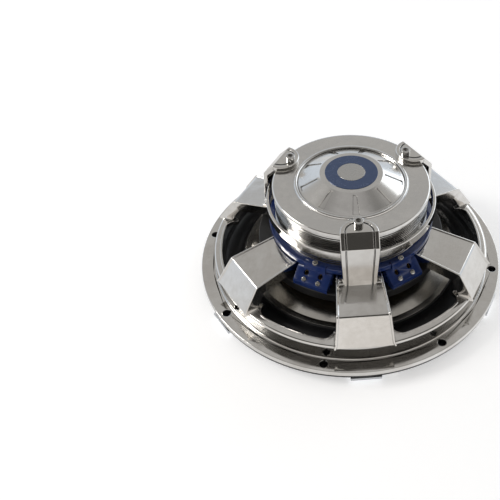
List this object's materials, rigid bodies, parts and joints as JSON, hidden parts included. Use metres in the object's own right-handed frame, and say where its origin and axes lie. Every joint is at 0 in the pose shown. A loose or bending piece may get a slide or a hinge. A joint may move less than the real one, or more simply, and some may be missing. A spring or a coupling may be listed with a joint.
{
  "type": "subwoofer driver",
  "caption": "Round car subwoofer driver: plated strap basket, clamped finned motor, blue terminal blocks and a flat spun-metal cone with a rubber surround.",
  "frame": {"origin": "on the cone axis, in the plane of the front faces of the trim clips", "axes": "+Z along the cone axis from the front to the motor, -Y through the strap that carries clamp arm 1, between the two terminal blocks"},
  "size_m": [0.265, 0.265, 0.1054],
  "materials": {
    "plated_casting": "mirror-bright plating over a cast surface",
    "plated_cover": "mirror-bright plating over turned steel",
    "plated_steel": "zinc-plated turned steel",
    "bright_screw": "bright plated screws",
    "satin_clip": "satin silver",
    "gloss_black": "gloss black moulded ring",
    "spun_aluminium": "spun, with fine turning lines",
    "cone_metal": "bright formed sheet",
    "surround_rubber": "black, soft sheen",
    "spider_cloth": "treated cotton cloth",
    "black_plastic": "black moulded ring",
    "magnet_ferrite": "dark fired ferrite",
    "copper_wire": "enamelled copper wire",
    "copper_sheet": "thin copper sheet",
    "former_film": "amber film",
    "blue_label": "blue printed ring, plain",
    "silver_label": "silver foil, plain",
    "blue_plastic": "clear-tinted blue moulding",
    "brass_contact": "plated wire cage"
  },
  "bodies": {
    "frame": {"back_plate_and_pole": "plated_steel", "basket": "plated_casting", "clamp_arm_1": "plated_casting", "clamp_arm_2": "plated_casting", "clamp_arm_3": "plated_casting", "clamp_foot_screws": "bright_screw", "clamp_hoop": "plated_casting", "clamp_lug_screws": "bright_screw", "front_plate": "plated_steel", "hub_bolts": "bright_screw", "label_disc": "silver_label", "label_ring": "blue_label", "magnet_cover": "plated_cover", "magnet_ring": "magnet_ferrite", "rear_cap": "plated_cover", "shorting_sleeve": "copper_sheet", "spider": "spider_cloth", "spider_landing_ring": "black_plastic", "surround": "surround_rubber", "terminal_block_left": "blue_plastic", "terminal_block_right": "blue_plastic", "terminal_contacts_left": "brass_contact", "terminal_contacts_right": "brass_contact", "terminal_link_screw_left": "bright_screw", "terminal_link_screw_right": "bright_screw", "terminal_ring": "blue_plastic", "trim_clip_1": "satin_clip", "trim_clip_2": "satin_clip", "trim_clip_3": "satin_clip", "trim_clip_4": "satin_clip", "trim_clip_5": "satin_clip", "trim_clip_6": "satin_clip", "trim_ring": "gloss_black", "trim_ring_screws": "bright_screw"},
    "cone_assembly": {"front_dish": "spun_aluminium", "cone": "cone_metal", "coil_former": "former_film", "coil_winding_inner": "copper_wire", "coil_winding_outer": "copper_wire"},
    "clamp_screw_left_1": {"terminal_clamp_screw_left_1": "bright_screw"},
    "clamp_screw_left_2": {"terminal_clamp_screw_left_2": "bright_screw"},
    "clamp_screw_right_1": {"terminal_clamp_screw_right_1": "bright_screw"},
    "clamp_screw_right_2": {"terminal_clamp_screw_right_2": "bright_screw"}
  },
  "joints": [
    {"name": "cone_stroke", "type": "slide", "parent": "frame", "child": "cone_assembly", "axis": [0, 0, 1], "range_m": [-0.008, 0.008], "stiffness_N_per_m": 5000, "deforming": ["surround", "spider"]},
    {"name": "clamp_screw_left_1_travel", "type": "slide", "parent": "frame", "child": "clamp_screw_left_1", "axis": [0.3237, 0.5606, -0.7622], "range_m": [-0.0025, 0.0012]},
    {"name": "clamp_screw_left_2_travel", "type": "slide", "parent": "frame", "child": "clamp_screw_left_2", "axis": [0.3237, 0.5606, -0.7622], "range_m": [-0.0025, 0.0012]},
    {"name": "clamp_screw_right_1_travel", "type": "slide", "parent": "frame", "child": "clamp_screw_right_1", "axis": [-0.3237, 0.5606, -0.7622], "range_m": [-0.0025, 0.0012]},
    {"name": "clamp_screw_right_2_travel", "type": "slide", "parent": "frame", "child": "clamp_screw_right_2", "axis": [-0.3237, 0.5606, -0.7622], "range_m": [-0.0025, 0.0012]}
  ]
}
